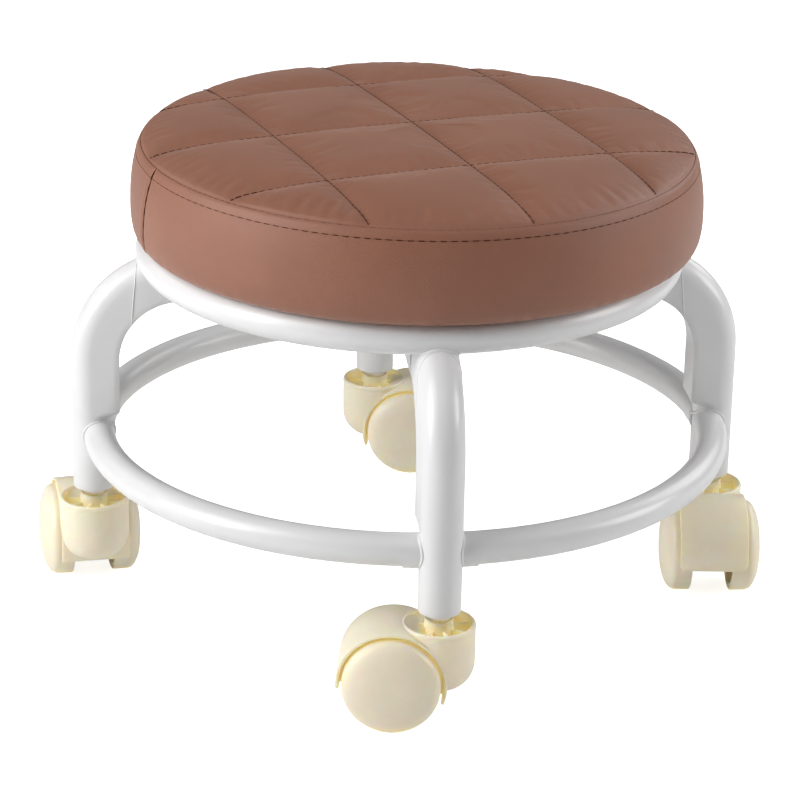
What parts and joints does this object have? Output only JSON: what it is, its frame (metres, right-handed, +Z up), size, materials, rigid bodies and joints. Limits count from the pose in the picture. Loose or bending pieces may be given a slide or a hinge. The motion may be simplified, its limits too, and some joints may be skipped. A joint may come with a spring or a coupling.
{
  "type": "rolling stool",
  "caption": "Low round rolling stool: quilted cushion on a white tube frame with ring braces and hooded twin-wheel swivel casters.",
  "frame": {"origin": "on the floor, under the centre of the leg frame", "axes": "+Z up; the legs stand on +X, +Y, -X and -Y; the front leg is on -Y"},
  "size_m": [0.3962, 0.3892, 0.264],
  "materials": {
    "white_powder_coat": "satin",
    "bare_steel": "polished",
    "zinc_steel": "satin",
    "brown_vinyl": "satin",
    "pale_foam": "matte",
    "plywood": "matte",
    "black_fleece": "matte",
    "ivory_nylon": "satin",
    "black_nylon": "matte"
  },
  "bodies": {
    "frame": {"top_ring": "white_powder_coat", "seat_bar_long": "white_powder_coat", "seat_bar_back": "white_powder_coat", "seat_bar_front": "white_powder_coat", "leg_right": "white_powder_coat", "lower_ring_arc_right": "white_powder_coat", "seat_spacer_right": "black_nylon", "seat_screw_right": "zinc_steel", "tee_nut_right": "zinc_steel", "stem_socket_right": "black_nylon", "caster_stem_right": "bare_steel", "leg_back": "white_powder_coat", "lower_ring_arc_back": "white_powder_coat", "seat_spacer_back": "black_nylon", "seat_screw_back": "zinc_steel", "tee_nut_back": "zinc_steel", "stem_socket_back": "black_nylon", "caster_stem_back": "bare_steel", "leg_left": "white_powder_coat", "lower_ring_arc_left": "white_powder_coat", "seat_spacer_left": "black_nylon", "seat_screw_left": "zinc_steel", "tee_nut_left": "zinc_steel", "stem_socket_left": "black_nylon", "caster_stem_left": "bare_steel", "leg_front": "white_powder_coat", "lower_ring_arc_front": "white_powder_coat", "seat_spacer_front": "black_nylon", "seat_screw_front": "zinc_steel", "tee_nut_front": "zinc_steel", "stem_socket_front": "black_nylon", "caster_stem_front": "bare_steel", "seat_board": "plywood", "seat_foam": "pale_foam", "seat_cover": "brown_vinyl", "seat_dust_cover": "black_fleece"},
    "caster_right": {"stem_clip_right": "bare_steel", "caster_housing_right": "ivory_nylon", "caster_axle_right": "bare_steel"},
    "wheel_right_a": {"wheel_right_a": "ivory_nylon"},
    "wheel_right_b": {"wheel_right_b": "ivory_nylon"},
    "caster_back": {"stem_clip_back": "bare_steel", "caster_housing_back": "ivory_nylon", "caster_axle_back": "bare_steel"},
    "wheel_back_a": {"wheel_back_a": "ivory_nylon"},
    "wheel_back_b": {"wheel_back_b": "ivory_nylon"},
    "caster_left": {"stem_clip_left": "bare_steel", "caster_housing_left": "ivory_nylon", "caster_axle_left": "bare_steel"},
    "wheel_left_a": {"wheel_left_a": "ivory_nylon"},
    "wheel_left_b": {"wheel_left_b": "ivory_nylon"},
    "caster_front": {"stem_clip_front": "bare_steel", "caster_housing_front": "ivory_nylon", "caster_axle_front": "bare_steel"},
    "wheel_front_a": {"wheel_front_a": "ivory_nylon"},
    "wheel_front_b": {"wheel_front_b": "ivory_nylon"}
  },
  "joints": [
    {"name": "swivel_right", "type": "hinge", "parent": "frame", "child": "caster_right", "pos_m": [0.17, 0, 0.045], "axis": [0, 0, 1], "continuous": true},
    {"name": "roll_right_a", "type": "hinge", "parent": "caster_right", "child": "wheel_right_a", "pos_m": [0.16804, -0.02241, 0.025], "axis": [0.9962, -0.0872, 0], "continuous": true},
    {"name": "roll_right_b", "type": "hinge", "parent": "caster_right", "child": "wheel_right_b", "pos_m": [0.16804, -0.02241, 0.025], "axis": [0.9962, -0.0872, 0], "continuous": true},
    {"name": "swivel_back", "type": "hinge", "parent": "frame", "child": "caster_back", "pos_m": [0, 0.17, 0.045], "axis": [0, 0, 1], "continuous": true},
    {"name": "roll_back_a", "type": "hinge", "parent": "caster_back", "child": "wheel_back_a", "pos_m": [0.02222, 0.16648, 0.025], "axis": [0.1564, 0.9877, 0], "continuous": true},
    {"name": "roll_back_b", "type": "hinge", "parent": "caster_back", "child": "wheel_back_b", "pos_m": [0.02222, 0.16648, 0.025], "axis": [0.1564, 0.9877, 0], "continuous": true},
    {"name": "swivel_left", "type": "hinge", "parent": "frame", "child": "caster_left", "pos_m": [-0.17, 0, 0.045], "axis": [0, 0, 1], "continuous": true},
    {"name": "roll_left_a", "type": "hinge", "parent": "caster_left", "child": "wheel_left_a", "pos_m": [-0.17274, 0.02233, 0.025], "axis": [-0.9925, -0.1219, 0], "continuous": true},
    {"name": "roll_left_b", "type": "hinge", "parent": "caster_left", "child": "wheel_left_b", "pos_m": [-0.17274, 0.02233, 0.025], "axis": [-0.9925, -0.1219, 0], "continuous": true},
    {"name": "swivel_front", "type": "hinge", "parent": "frame", "child": "caster_front", "pos_m": [0, -0.17, 0.045], "axis": [0, 0, 1], "continuous": true},
    {"name": "roll_front_a", "type": "hinge", "parent": "caster_front", "child": "wheel_front_a", "pos_m": [-0.02222, -0.16648, 0.025], "axis": [-0.1564, -0.9877, 0], "continuous": true},
    {"name": "roll_front_b", "type": "hinge", "parent": "caster_front", "child": "wheel_front_b", "pos_m": [-0.02222, -0.16648, 0.025], "axis": [-0.1564, -0.9877, 0], "continuous": true}
  ]
}
